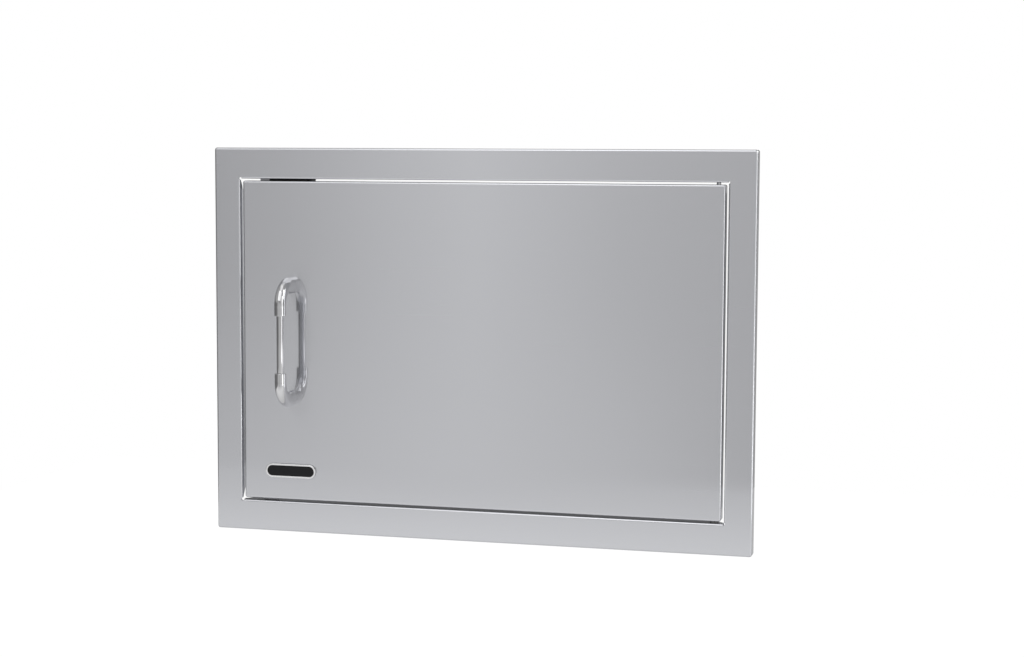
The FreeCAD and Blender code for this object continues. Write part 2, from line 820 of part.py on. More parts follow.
def strike_rivet_xs():
    return [catch_x + side * strike_rivet_spacing / 2 for side in (-1, 1)]


def strike_cone(x, radius, head_radius):
    depth = head_radius - radius
    return Part.makeCone(head_radius, radius, depth, point(x, strike_rear_y, strike_z), -back)


def strike_plate():
    """Steel plate on the back of the door that meets the magnet's poles."""
    half_x = strike_width / 2
    half_z = strike_height / 2
    plate = block(catch_x - half_x, catch_x + half_x, door_rear_y, strike_rear_y,
                  strike_z - half_z, strike_z + half_z)
    plate = plate.makeFillet(strike_corner, edges_where(plate, lambda edge: runs_along(edge, 1)))
    cuts = []
    for x in strike_rivet_xs():
        cuts.append(strike_cone(x, strike_rivet_radius + rivet_fit,
                                strike_rivet_head_radius + rivet_fit))
        cuts.append(level(strike_rivet_radius + rivet_fit, x, strike_z, door_rear_y - overrun,
                          strike_rear_y + overrun))
    return without(plate, cuts)


def strike_rivets():
    """Countersunk rivets, flush with the strike plate."""
    shapes = []
    for x in strike_rivet_xs():
        head = strike_cone(x, strike_rivet_radius, strike_rivet_head_radius)
        shank = level(strike_rivet_radius, x, strike_z, liner_inner_y, strike_rear_y)
        tail = level(strike_rivet_tail_radius, x, strike_z, liner_inner_y - strike_rivet_tail,
                     liner_inner_y)
        shapes.append(joined([head, shank, tail]))
    return shapes


def door_stop():
    """Angle on the floor of the neck behind the door's free edge."""
    x_low = stop_x - stop_width / 2
    x_high = stop_x + stop_width / 2
    face = block(x_low, x_high, stop_face_y, stop_face_y + bracket_sheet, -half_opening_z,
                 -half_opening_z + stop_height)
    leg = block(x_low, x_high, stop_face_y, stop_face_y + stop_leg, -half_opening_z,
                -half_opening_z + bracket_sheet)
    cuts = [upright(rivet_radius + rivet_fit, x, stop_rivet_y, -half_opening_z - overrun,
                    -half_opening_z + overrun) for x in stop_rivet_xs()]
    cuts.append(level(bumper_stem_radius + bumper_stem_fit, stop_x, bumper_z,
                      stop_face_y - overrun, stop_face_y + overrun))
    return without(joined([face, leg]), cuts)


def stop_bumper():
    """Rubber button with a stem that snaps into the door stop."""
    tip = stop_face_y - bumper_length
    rear = stop_face_y + bracket_sheet
    button = level(bumper_radius, stop_x, bumper_z, tip, stop_face_y)
    rim = edges_where(button, lambda edge: lies_at(edge, 1, tip))
    button = button.makeFillet(bumper_round, rim)
    stem = level(bumper_stem_radius, stop_x, bumper_z, stop_face_y, rear)
    tail = level(bumper_tail_radius, stop_x, bumper_z, rear, rear + bumper_tail)
    return joined([button, stem, tail])


pieces = {
    "face_frame": face_frame(),
    "upper_hinge_plate": hinge_plate(1, bushing_radius + bushing_fit),
    "lower_hinge_plate": hinge_plate(-1, pin_radius + bushing_fit),
    "upper_hinge_bushing": upper_hinge_bushing(),
    "lower_hinge_pin": lower_hinge_pin(),
    "lower_thrust_washer": lower_thrust_washer(),
    "catch_bracket": catch_bracket(),
    "catch_housing": catch_housing(),
    "catch_magnet": catch_magnet(),
    "catch_pole_plates": catch_pole_plates(),
    "catch_screws": catch_screws(),
    "door_stop": door_stop(),
    "stop_bumper": stop_bumper(),
    "frame_rivets": frame_rivets(),
    "door_skin": door_skin(),
    "door_liner": door_liner(),
    "door_stiffener": door_stiffener(),
    "lower_hinge_bushing": lower_hinge_bushing(),
    "pin_carrier": pin_carrier(),
    "pin_spring": pin_spring(),
    "strike_plate": strike_plate(),
    "strike_rivets": strike_rivets(),
    "handle_upper_elbow": upper_elbow(),
    "handle_lower_elbow": lower_elbow(),
    "handle_grip": handle_grip(),
    "handle_screws": handle_screws(),
    "handle_washers": handle_washers(),
    "liner_plugs": liner_plugs(),
    "badge_pad": badge_pad(),
    "badge_bezel": badge_bezel(),
    "badge_infill": badge_infill(),
    "upper_hinge_pin": upper_hinge_pin(),
    "pin_finger_tab": pin_finger_tab(),
    "pin_retaining_clip": pin_retaining_clip(),
}

for name, made in pieces.items():
    solids = made if isinstance(made, list) else made.Solids
    shape = solids[0] if len(solids) == 1 else Part.makeCompound(solids)
    shape.exportStep(os.path.join("parts", name + ".step"))
    box = shape.BoundBox
    print(name, len(solids), "valid" if shape.isValid() else "NOT VALID",
          round(shape.Volume, 1),
          [round(v, 2) for v in (box.XMin, box.YMin, box.ZMin, box.XMax, box.YMax, box.ZMax)])
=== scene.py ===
import json
import math
import bmesh
import bpy
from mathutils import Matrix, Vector

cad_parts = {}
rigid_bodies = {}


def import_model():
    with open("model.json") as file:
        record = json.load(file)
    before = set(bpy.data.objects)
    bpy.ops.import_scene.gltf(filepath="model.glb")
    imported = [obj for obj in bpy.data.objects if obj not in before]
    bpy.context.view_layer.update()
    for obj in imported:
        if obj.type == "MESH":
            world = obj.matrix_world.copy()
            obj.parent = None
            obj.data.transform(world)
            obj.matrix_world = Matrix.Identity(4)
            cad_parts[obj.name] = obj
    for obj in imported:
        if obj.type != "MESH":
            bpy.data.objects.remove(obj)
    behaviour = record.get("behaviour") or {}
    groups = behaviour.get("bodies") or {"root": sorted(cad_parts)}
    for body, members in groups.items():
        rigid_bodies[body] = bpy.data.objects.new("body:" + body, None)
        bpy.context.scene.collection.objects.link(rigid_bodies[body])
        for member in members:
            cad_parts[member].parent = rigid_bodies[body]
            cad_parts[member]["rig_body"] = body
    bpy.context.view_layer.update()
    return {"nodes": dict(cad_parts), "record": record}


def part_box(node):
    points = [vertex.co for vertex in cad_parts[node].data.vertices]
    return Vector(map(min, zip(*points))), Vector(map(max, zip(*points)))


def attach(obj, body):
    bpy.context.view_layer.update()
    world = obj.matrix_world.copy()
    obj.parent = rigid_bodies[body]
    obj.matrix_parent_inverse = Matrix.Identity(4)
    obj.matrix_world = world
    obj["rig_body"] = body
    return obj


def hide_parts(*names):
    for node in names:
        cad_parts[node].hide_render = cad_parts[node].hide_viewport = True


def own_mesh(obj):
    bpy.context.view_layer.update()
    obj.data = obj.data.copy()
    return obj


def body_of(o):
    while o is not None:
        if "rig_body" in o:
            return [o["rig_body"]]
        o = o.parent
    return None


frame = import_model()
nodes = frame["nodes"]
print("frame loaded:", len(nodes), "nodes")

mm = 0.001
fullTurn = 2 * math.pi
quarterTurn = math.pi / 2
white = (1, 1, 1, 1)


def binary(operation, reflected=False):
    def method(self, other):
        pair = [other, self] if reflected else [self, other]
        return self.graph.node("ShaderNodeMath", {"operation": operation}, pair)
    return method


class Wire:  # one socket, so that sums of sockets read as plain Python
    def __init__(self, graph, socket):
        self.graph = graph
        self.socket = socket

    __add__, __radd__ = binary("ADD"), binary("ADD", reflected=True)
    __sub__, __rsub__ = binary("SUBTRACT"), binary("SUBTRACT", reflected=True)
    __mul__, __rmul__ = binary("MULTIPLY"), binary("MULTIPLY", reflected=True)
    __truediv__, __rtruediv__ = binary("DIVIDE"), binary("DIVIDE", reflected=True)
    __mod__, __rmod__ = binary("MODULO"), binary("MODULO", reflected=True)
    __gt__, __lt__ = binary("GREATER_THAN"), binary("LESS_THAN")

    def maths(self, operation, *others):
        return self.graph.node("ShaderNodeMath", {"operation": operation}, [self, *others])


class Graph:  # a node tree being built, for a material, the world or Geometry Nodes
    def __init__(self, tree):
        self.tree = tree
        tree.nodes.clear()

    def node(self, kind, settings=None, inputs=(), out=0):  # its settings first, then its sockets
        made = self.tree.nodes.new(kind)
        for name, value in (settings or {}).items():
            if name == "stops":
                self.setStops(made.color_ramp, value)
            elif name == "choices":
                while len(made.index_switch_items) < value:
                    made.index_switch_items.new()
            else:
                setattr(made, name, value)
        pairs = inputs.items() if isinstance(inputs, dict) else enumerate(inputs)
        for key, value in pairs:
            self.feed(made.inputs[key], value)
        return Wire(self, made.outputs[out]) if made.outputs else made

    def feed(self, socket, value):
        if isinstance(value, Wire):
            self.tree.links.new(value.socket, socket)
        else:
            socket.default_value = value

    def setStops(self, ramp, stops):
        while len(ramp.elements) < len(stops):
            ramp.elements.new(1.0)
        for element, (place, grey) in zip(ramp.elements, stops):
            element.position = place
            element.color = (grey, grey, grey, 1)

    def split(self, vector):
        parts = self.node("ShaderNodeSeparateXYZ", None, [vector]).socket.node
        return [Wire(self, output) for output in parts.outputs]

    def join(self, x, y, z):
        return self.node("ShaderNodeCombineXYZ", None, [x, y, z])

    def blend(self, factor, first, second):  # two colours
        settings = {"data_type": "RGBA", "clamp_factor": True}
        return self.node("ShaderNodeMix", settings, {0: factor, 6: first, 7: second}, 2)

    def between(self, value, fromLow, fromHigh, toLow, toHigh):
        settings = {"interpolation_type": "SMOOTHSTEP"}
        return self.node("ShaderNodeMapRange", settings, [value, fromLow, fromHigh, toLow, toHigh])

    def choose(self, index, values):  # the value that stands at this place in a list
        settings = {"data_type": "FLOAT", "choices": len(values)}
        return self.node("GeometryNodeIndexSwitch", settings, [index, *values])


# The studio's walls

# how grey mirrors see them, by compass angle: 0 in front of the door and 90 at its right
walls = {
    "deep": [(-180, 0.5), (-70, 0.5), (-40, 0.45), (-26, 0.58), (-20.8, 0.66), (-16, 0.72),
             (-11, 0.64), (-7, 0.51), (20, 0.65), (60, 0.9), (110, 0.7), (140, 0.5), (180, 0.5)],
    "low": [(-180, 0.36), (-160, 0.17), (-120, 0.17), (-60, 0.22), (-40, 0.33), (-26, 0.58),
            (-20.8, 0.66), (-16, 0.72), (-11, 0.64), (-7, 0.51), (20, 0.65), (60, 1.0),
            (110, 0.9), (150, 0.15), (163, 0.2), (173, 0.36), (180, 0.36)],
    "level": [(-180, 0.36), (-160, 0.17), (-120, 0.17), (-60, 0.17), (-40, 0.26), (-26, 0.385),
              (-20.8, 0.51), (-18.5, 0.61), (-15.5, 0.7), (-11, 0.555), (-7, 0.51), (20, 0.62),
              (45, 0.55), (56, 0.5), (72, 0.3), (90, 0.21), (145, 0.21), (155, 0.75),
              (163, 0.75), (173, 0.36), (180, 0.36)],
    "high": [(-180, 0.13), (-135, 0.16), (-100, 0.4), (-60, 0.5), (-26, 0.38), (-20.8, 0.42),
             (-17.8, 0.8), (-14.6, 0.8), (-10.5, 0.42), (20, 0.42), (60, 0.6), (110, 0.42),
             (140, 0.2), (180, 0.13)],
    # one ring of walls turns into the next between these heights, in degrees from the level
    "deepToLow": (-23, -16),
    "lowToLevel": (-10, -2),
    "levelToHigh": (3, 12),
    "plainLight": 0.85,  # what falls on matt surfaces from all sides
}


def sightLines(graph):  # where the camera looks straight, and where it looks by metal or glass
    path = graph.node("ShaderNodeLightPath").socket.node
    names = ("Is Camera Ray", "Is Glossy Ray", "Is Transmission Ray")
    straight, mirrored, through = [Wire(graph, path.outputs[name]) for name in names]
    return straight, mirrored + through


def buildWorld():
    world = bpy.data.worlds.new("studio")
    world.use_nodes = True
    bpy.context.scene.world = world
    graph = Graph(world.node_tree)
    x, y, z = graph.split(graph.node("ShaderNodeTexCoord", None, [], "Generated"))
    compass = graph.node("ShaderNodeMath", {"operation": "ARCTAN2"}, [x, y * -1])
    along = compass / fullTurn + 0.5

    def ring(name):
        stops = [(angle / 360 + 0.5, grey) for angle, grey in walls[name]]
        return graph.node("ShaderNodeValToRGB", {"stops": stops}, [along])

    def rise(name):
        low, high = [math.sin(math.radians(angle)) for angle in walls[name]]
        return graph.between(z, low, high, 0, 1)

    room = graph.blend(rise("deepToLow"), ring("deep"), ring("low"))
    room = graph.blend(rise("lowToLevel"), room, ring("level"))
    room = graph.blend(rise("levelToHigh"), room, ring("high"))
    straight, mirrored = sightLines(graph)
    plain = (walls["plainLight"],) * 3 + (1,)
    colour = graph.blend(mirrored, plain, room)
    colour = graph.blend(straight, colour, white)
    background = graph.node("ShaderNodeBackground", None, [colour, 1.0])
    graph.node("ShaderNodeOutputWorld", None, [background])


# The pale floor

paleFloor = {
    "height": -0.30,
    "half": 0.9,
    "colour": (0.9, 0.9, 0.9, 1),
    "glow": 0.94,  # share of glow in what the camera sees, the rest being lit by the lamps
    "bright": 1.03,
    # how strongly mirrors see it, with painted light that is brighter near the door and a painted
    # shadow behind it: from and to in depth, and the strength at each
    "front": (-0.9, -0.1, 0.7, 1.0),
    "behind": (-0.4, 0.2, 1.0, 0.55),
}


def buildFloor():
    mesh = bpy.data.meshes.new("floor")
    half = paleFloor["half"]
    corners = [(-half, -half), (half, -half), (half, half), (-half, half)]
    mesh.from_pydata([(x, y, paleFloor["height"]) for x, y in corners], [], [(0, 1, 2, 3)])
    floor = bpy.data.objects.new("floor", mesh)
    bpy.context.scene.collection.objects.link(floor)
    material = bpy.data.materials.new("paleFloor")
    material.use_nodes = True
    graph = Graph(material.node_tree)
    matt = graph.node("ShaderNodeBsdfDiffuse", None, {"Color": paleFloor["colour"]})
    straight, mirrored = sightLines(graph)
    y = graph.split(graph.node("ShaderNodeTexCoord", None, [], "Object"))[1]
    front = graph.between(y, *paleFloor["front"])
    behind = graph.between(y, *paleFloor["behind"])
    # mirrors see the floor's glow with a painted pool of light near the door and a painted shadow
    # behind it
    strength = straight * paleFloor["bright"] + mirrored * front * behind
    glow = graph.node("ShaderNodeEmission", None, {"Color": white, "Strength": strength})
    share = straight * paleFloor["glow"] + mirrored
    both = graph.node("ShaderNodeMixShader", None, [share, matt, glow])
    graph.node("ShaderNodeOutputMaterial", None, [both])
    mesh.materials.append(material)


# Soft lamps

# all are aimed at the middle of the door, and brightness is how bright a mirror sees them
lamps = {
    "lampAbove": {"place": (-0.2, -0.1, 2.1), "size": (2.2, 1.5), "brightness": 0.62},
    "lampFront": {"place": (-0.13, -1.53, 1.35), "size": (2.2, 1.6), "brightness": 0.92},
    "lampRight": {"place": (1.8, 0.4, 1.05), "size": (0.9, 1.2), "brightness": 5.8},
    "lampStrip": {"place": (1.8, -0.88, 0.3), "size": (0.4, 1.8), "brightness": 2.4},
}


def buildLamps():
    for name, lamp in lamps.items():
        wide, high = lamp["size"]
        light = bpy.data.lights.new(name, "AREA")
        light.shape = "RECTANGLE"
        light.size, light.size_y = wide, high
        light.energy = lamp["brightness"] * math.pi * wide * high
        thing = bpy.data.objects.new(name, light)
        thing.location = lamp["place"]
        thing.rotation_euler = (-Vector(lamp["place"])).to_track_quat("-Z", "Y").to_euler()
        thing.visible_camera = False
        bpy.context.scene.collection.objects.link(thing)


# The camera, where the photograph was taken

photoView = {
    "lens": 67.28,
    "sensor": 36,
    "place": (0.5539, -2.0198, 0.2096),
    "turn": (84.808, -0.277, 14.385),  # in degrees
}


def buildCamera():
    data = bpy.data.cameras.new("camera")
    data.sensor_width = photoView["sensor"]
    data.lens = photoView["lens"]
    camera = bpy.data.objects.new("camera", data)
    camera.location = photoView["place"]
    camera.rotation_euler = [math.radians(angle) for angle in photoView["turn"]]
    bpy.context.scene.collection.objects.link(camera)
    bpy.context.scene.camera = camera


buildWorld()
buildFloor()
buildLamps()
buildCamera()
bpy.context.scene.view_settings.view_transform = "Standard"
print("studio built")


# Finishes


def newFinish(name, constants):
    material = bpy.data.materials.new(name)
    material.use_nodes = True
    graph = Graph(material.node_tree)
    shader = graph.node("ShaderNodeBsdfPrincipled", None, constants)
    return material, graph, shader


def showFinish(graph, shader):
    graph.node("ShaderNodeOutputMaterial", None, [shader])


def tinted(graph, tone, colour):  # a colour, lightened or darkened by a tone about 1
    inputs = {"Vector": colour, "Scale": tone}
    return graph.node("ShaderNodeVectorMath", {"operation": "SCALE"}, inputs)


def objectPlace(graph):
    return graph.node("ShaderNodeTexCoord", None, [], "Object")


def noise(graph, vector, scale=1.0, detail=2.0, roughness=0.5):
    inputs = {"Vector": vector, "Scale": scale, "Detail": detail, "Roughness": roughness}
    return graph.node("ShaderNodeTexNoise", None, inputs, "Fac")


def dent(graph, height, distance, strength):
    inputs = {"Strength": strength, "Distance": distance, "Height": height}
    return graph.node("ShaderNodeBump", None, inputs)


# tone scales a finish's colour, and gloss is added to its roughness: both give a fixed step
# first, and then the share of each pattern
def added(start, shares, patterns):
    value = start + shares[0]
    for share, pattern in zip(shares[1:], patterns):
        value = value + pattern * share
    return value


def paint(graph, shader, colour, roughness, bump):
    sockets = shader.socket.node.inputs
    graph.feed(sockets["Base Color"], colour)
    graph.feed(sockets["Roughness"], roughness)
    graph.feed(sockets["Normal"], bump)


def finishWith(graph, shader, look, patterns, raised):  # two patterns, and the one that is raised
    paint(graph, shader, tinted(graph, added(0, look["tone"], patterns), look["colour"]),
          added(look["roughness"], look["gloss"], patterns),
          dent(graph, raised, look["depth"], look["relief"]))
    showFinish(graph, shader)


# Sheet that is brushed from side to side: a clear lobe, and a satin one that spreads more
brushing = {
    "colour": (0.654, 0.66, 0.688),
    # lines and bands are counted per metre, as all patterns are
    "lineAlong": 6.0,
    "lineAcross": 1500.0,
    "bandAlong": 2.0,
    "bandAcross": 180.0,
    "bandShift": 3.0,  # keeps the bands apart from the lines
    "lineTone": 0.025,
    "bandTone": 0.02,
    # painted highlight: the bends' colour is lightened by this share
    "bendHighlightTone": 0.05,
    "bend": (0.86, 0.995),  # a face is a bend below the first and flat above the second
    "upward": 0.7,  # above this a face looks up or down, and its lines lie behind one another
    "clearRoughness": 0.06,
    "satinRoughness": 0.27,
    "gloss": (-0.01, 0.015, 0.005),
    "grainTurn": 0.25,  # in turns, so that the gloss spreads across the lines
    "clearSpread": 0.8,
    "satinSpread": 1.0,
    "clearShare": 0.65,
    "lineDepth": 0.02 * mm,
    "relief": 0.05,
}


def makeBrushedSheet():
    grain = {"Metallic": 1.0, "Anisotropic Rotation": brushing["grainTurn"]}
    satinLobe = {**grain, "Anisotropic": brushing["satinSpread"]}
    clearLobe = {**grain, "Anisotropic": brushing["clearSpread"]}
    material, graph, satin = newFinish("brushedSheet", satinLobe)
    clear = graph.node("ShaderNodeBsdfPrincipled", None, clearLobe)
    x, y, z = graph.split(objectPlace(graph))
    normal = graph.split(graph.node("ShaderNodeTexCoord", None, [], "Normal"))
    facing = [part.maths("ABSOLUTE") for part in normal]
    upward = facing[2] > brushing["upward"]
    across = z + y * upward
    sideways = x + y * (1 - upward)
    lines = noise(graph, graph.join(sideways * brushing["lineAlong"], 0.0,
                                    across * brushing["lineAcross"]))
    bands = noise(graph, graph.join(sideways * brushing["bandAlong"], brushing["bandShift"],
                                    across * brushing["bandAcross"]))
    flat = facing[0].maths("MAXIMUM", facing[1]).maths("MAXIMUM", facing[2])
    paintedBendHighlight = graph.between(flat, *brushing["bend"], brushing["bendHighlightTone"], 0.0)  # painted highlight: bends are made brighter in colour
    tone = 1 + (lines - 0.5) * brushing["lineTone"] + (bands - 0.5) * brushing["bandTone"] + paintedBendHighlight
    colour = tinted(graph, tone, brushing["colour"])
    bump = dent(graph, lines, brushing["lineDepth"], brushing["relief"])
    for shader, roughness in ((satin, "satinRoughness"), (clear, "clearRoughness")):
        gloss = added(brushing[roughness], brushing["gloss"], (lines, bands))
        paint(graph, shader, colour, gloss, bump)
    both = graph.node("ShaderNodeMixShader", None, [brushing["clearShare"], satin, clear])
    showFinish(graph, both)
    return material


# Sheet as it leaves the mill: cloudy, with faint rolling lines
mill = {
    "colour": (0.6, 0.603, 0.615), "tone": (0.88, 0.18, 0.06),
    "roughness": 0.3, "gloss": (-0.06, 0.14, 0.04),
    "cloud": 45.0, "cloudDetail": 4.0, "cloudRoughness": 0.6,
    "lineAlong": 30.0, "lineAcross": 1800.0, "depth": 0.01 * mm, "relief": 0.2,
}


def makeMillSheet():
    material, graph, shader = newFinish("millSheet", {"Metallic": 1.0})
    place = objectPlace(graph)
    x, y, z = graph.split(place)
    clouds = noise(graph, place, mill["cloud"], mill["cloudDetail"], mill["cloudRoughness"])
    lines = noise(graph, graph.join(x * mill["lineAcross"], y * mill["lineAcross"],
                                    z * mill["lineAlong"]))
    finishWith(graph, shader, mill, (clouds, lines), lines)
    return material


# Turned parts carry fine rings, which follow the radius and height kept in their UV map
turning = {
    "colour": (0.62, 0.622, 0.63), "tone": (0.86, 0.16, 0.1),
    "roughness": 0.2, "gloss": (-0.05, 0.1, 0.08),
    "ring": 9000.0, "ringDetail": 1.0, "stain": 500.0, "stainDetail": 3.0,
    "depth": 0.006 * mm, "relief": 0.4,
}


def makeTurnedSteel():
    material, graph, shader = newFinish("turnedSteel", {"Metallic": 1.0})
    outline = graph.node("ShaderNodeTexCoord", None, [], "UV")  # in millimetres
    rings = noise(graph, outline, turning["ring"] * mm, turning["ringDetail"])
    stains = noise(graph, objectPlace(graph), turning["stain"], turning["stainDetail"])
    finishWith(graph, shader, turning, (rings, stains), rings)
    return material


# Bright plated chrome: a smooth skin with a hint of unevenness and a few hair scratches
chrome = {
    "tone": (0.97, 0.06, -0.04), "gloss": (0, 0.03, 0.06),
    "swell": 90.0, "swellDetail": 1.0, "haze": 900.0,
    "scratch": 2600.0, "scratchAlong": 60.0, "scratchDetail": 1.0, "scratchEdges": (0.66, 0.74),
    "depth": 0.012 * mm, "relief": 0.3,
}


def makeChrome(name, colour, roughness):
    material, graph, shader = newFinish(name, {"Metallic": 1.0})
    place = objectPlace(graph)
    x, y, z = graph.split(place)
    swell = noise(graph, place, chrome["swell"], chrome["swellDetail"])
    haze = noise(graph, place, chrome["haze"])
    hair = noise(graph, graph.join(x * chrome["scratch"], y * chrome["scratch"],
                                   z * chrome["scratchAlong"]), detail=chrome["scratchDetail"])
    scratched = graph.between(hair, *chrome["scratchEdges"], 0.0, 1.0)
    look = {**chrome, "colour": colour, "roughness": roughness}
    finishWith(graph, shader, look, (haze, scratched), swell)
    return material


# Small parts have a fine grain, and clouds that are so many times wider: steel, or plastic,
# rubber, foam and ferrite
pressed = {
    "tone": (0.84, 0.14, 0.16), "gloss": (-0.08, 0.08, 0.1), "relief": 0.3,
    "wider": 12, "grainDetail": 3.0, "grainRoughness": 0.6, "constants": {"Metallic": 1.0},
}
moulded = {
    "tone": (0.8, 0.22, 0.18), "gloss": (-0.08, 0.08, 0.1), "relief": 0.6,
    "wider": 25, "grainDetail": 3.0, "grainRoughness": 0.65, "constants": {},
}


def makeGrained(name, kind, colour, roughness, grain, depth, constants=()):
    look = {**kind, "colour": colour, "roughness": roughness, "depth": depth * mm}
    material, graph, shader = newFinish(name, {**kind["constants"], **dict(constants)})
    place = objectPlace(graph)
    fine = noise(graph, place, grain, look["grainDetail"], look["grainRoughness"])
    wide = noise(graph, place, grain / look["wider"])
    finishWith(graph, shader, look, (fine, wide), fine)
    return material


# grain is counted per metre, and depth is in millimetres
finishes = {
    "brushed_sheet": makeBrushedSheet(),
    "plain_sheet": makeMillSheet(),
    "turned_steel": makeTurnedSteel(),
    "magnetic_steel": makeGrained("platedSteel", pressed, colour=(0.55, 0.55, 0.56),
                                  roughness=0.32, grain=2500.0, depth=0.01),
    "magnet": makeGrained("ferrite", moulded, colour=(0.045, 0.045, 0.048),
                          roughness=0.6, grain=2200.0, depth=0.03),
    "bright_chrome": makeChrome("brightChrome", colour=(0.66, 0.66, 0.67), roughness=0.03),
    "badge_black": makeGrained("badgeBlack", moulded, colour=(0.006, 0.006, 0.007),
                               roughness=0.25, grain=700.0, depth=0.004,
                               constants={"Specular IOR Level": 0.25}),
    "catch_plastic": makeGrained("catchPlastic", moulded, colour=(0.018, 0.018, 0.019),
                                 roughness=0.5, grain=1800.0, depth=0.03),
    "bearing_plastic": makeGrained("bearingPlastic", moulded, colour=(0.13, 0.13, 0.128),
                                   roughness=0.42, grain=1500.0, depth=0.01),
    "plug_plastic": makeGrained("plugPlastic", moulded, colour=(0.025, 0.025, 0.026),
                                roughness=0.45, grain=1600.0, depth=0.02),
    "soft_rubber": makeGrained("softRubber", moulded, colour=(0.022, 0.022, 0.022),
                               roughness=0.8, grain=1200.0, depth=0.03),
    "pad_foam": makeGrained("padFoam", moulded, colour=(0.04, 0.04, 0.04),
                            roughness=0.92, grain=2600.0, depth=0.12),
}
stampedSteel = makeGrained("stampedSteel", pressed, colour=(0.58, 0.58, 0.59),
                           roughness=0.3, grain=1400.0, depth=0.008)
drawnWire = makeGrained("drawnWire", pressed, colour=(0.5, 0.5, 0.505),
                        roughness=0.28, grain=3000.0, depth=0.006)
softChrome = makeChrome("softChrome", colour=(0.93, 0.93, 0.935), roughness=0.2)
slotOf = {part["node"]: part["material_slot"] for part in frame["record"]["subparts"]}
for name, node in nodes.items():
    for slot in node.material_slots:
        slot.material = softChrome if name == "badge_bezel" else finishes[slotOf[name]]
print("finishes set")


# Tools for the pieces

# points closer than this are one point, in a node's mesh and in a grown one
meshing = {"nodeGap": 0.001 * mm, "grownGap": 0.002 * mm, "sharpAngle": 20}


def solidsOf(name):  # the lowest and highest corner of each solid in a node
    work = bmesh.new()
    work.from_mesh(nodes[name].data)
    bmesh.ops.remove_doubles(work, verts=work.verts, dist=meshing["nodeGap"])
    waiting = set(work.verts)
    found = []
    while waiting:
        reached = [waiting.pop()]
        solid = []
        while reached:
            vertex = reached.pop()
            solid.append(vertex.co.copy())
            others = [edge.other_vert(vertex) for edge in vertex.link_edges]
            fresh = [other for other in others if other in waiting]
            waiting.difference_update(fresh)
            reached.extend(fresh)
        low = Vector([min(spot[axis] for spot in solid) for axis in range(3)])
        high = Vector([max(spot[axis] for spot in solid) for axis in range(3)])
        found.append((low, high))
    work.free()
    return sorted(found, key=lambda corners: tuple(corners[0]))


def newTree(name, sizes):  # a Geometry Nodes tree with a named input for each size
    tree = bpy.data.node_groups.new(name, "GeometryNodeTree")
    tree.interface.new_socket("Places", in_out="INPUT", socket_type="NodeSocketGeometry")
    tree.interface.new_socket("Shape", in_out="OUTPUT", socket_type="NodeSocketGeometry")
    for label in sizes:
        tree.interface.new_socket(label, in_out="INPUT", socket_type="NodeSocketFloat")
    graph = Graph(tree)
    start = tree.nodes.new("NodeGroupInput")
    given = {label: Wire(graph, start.outputs[label]) for label in sizes}
    return graph, Wire(graph, start.outputs["Places"]), given


def endTree(graph, shape, material):
    shape = graph.node("GeometryNodeRealizeInstances", None, [shape])
    shape = graph.node("GeometryNodeSetMaterial", None, {"Geometry": shape, "Material": material})
    graph.node("NodeGroupOutput", None, [shape])


def rollable(graph, rows, sides):  # a grid, and the row and the rolled angle of its points
    inputs = {"Vertices X": rows, "Vertices Y": sides + 1}
    grid = graph.node("GeometryNodeMeshGrid", None, inputs)
    index = graph.node("GeometryNodeInputIndex")
    row = (index / (sides + 1)).maths("FLOOR")
    return grid, row, index % (sides + 1) * (fullTurn / sides)


def rolled(graph, grid, spot):  # the grid with its points on their spots, closed where they meet
    inputs = {"Geometry": grid, "Position": spot}
    shape = graph.node("GeometryNodeSetPosition", None, inputs)
    inputs = {"Geometry": shape, "Distance": meshing["grownGap"]}
    return graph.node("GeometryNodeMergeByDistance", None, inputs)


def smoothed(mesh):
    work = bmesh.new()
    work.from_mesh(mesh)
    bmesh.ops.remove_doubles(work, verts=work.verts, dist=meshing["grownGap"])
    bmesh.ops.dissolve_degenerate(work, edges=work.edges, dist=meshing["nodeGap"])
    bmesh.ops.recalc_face_normals(work, faces=work.faces)
    work.to_mesh(mesh)
    work.free()
    mesh.polygons.foreach_set("use_smooth", [True] * len(mesh.polygons))
    mesh.set_sharp_from_angle(angle=math.radians(meshing["sharpAngle"]))
    return mesh


def grow(name, graph, sizes, places, axes):  # runs a tree on points and keeps a plain mesh
    mesh = bpy.data.meshes.new(name)
    mesh.from_pydata(places, [], [])
    axis = mesh.attributes.new("axis", "FLOAT_VECTOR", "POINT")
    axis.data.foreach_set("vector", [value for vector in axes for value in vector])
    piece = bpy.data.objects.new(name, mesh)
    bpy.context.scene.collection.objects.link(piece)
    modifier = piece.modifiers.new("shape", "NODES")
    modifier.node_group = graph.tree
    for item in graph.tree.interface.items_tree:
        if item.in_out == "INPUT" and item.name in sizes:
            modifier[item.identifier] = sizes[item.name]
    view = bpy.context.evaluated_depsgraph_get()
    grown = bpy.data.meshes.new_from_object(piece.evaluated_get(view), depsgraph=view)
    piece.modifiers.clear()
    finish = [material for material in grown.materials if material][0]
    grown.materials.clear()
    grown.materials.append(finish)
    piece.data = smoothed(grown)
    return piece


def dress(piece, *replaced):  # a finished piece stands for its nodes and rides with them
    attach(piece, body_of(nodes[replaced[0]])[0])
    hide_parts(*replaced)
    return piece


# Tools for the turned pieces

turnedSides = 40
up, back = Vector((0, 0, 1)), Vector((0, 1, 0))


def towardsMiddle(low, high):
    return up * (-1 if low.z + high.z > 0 else 1)


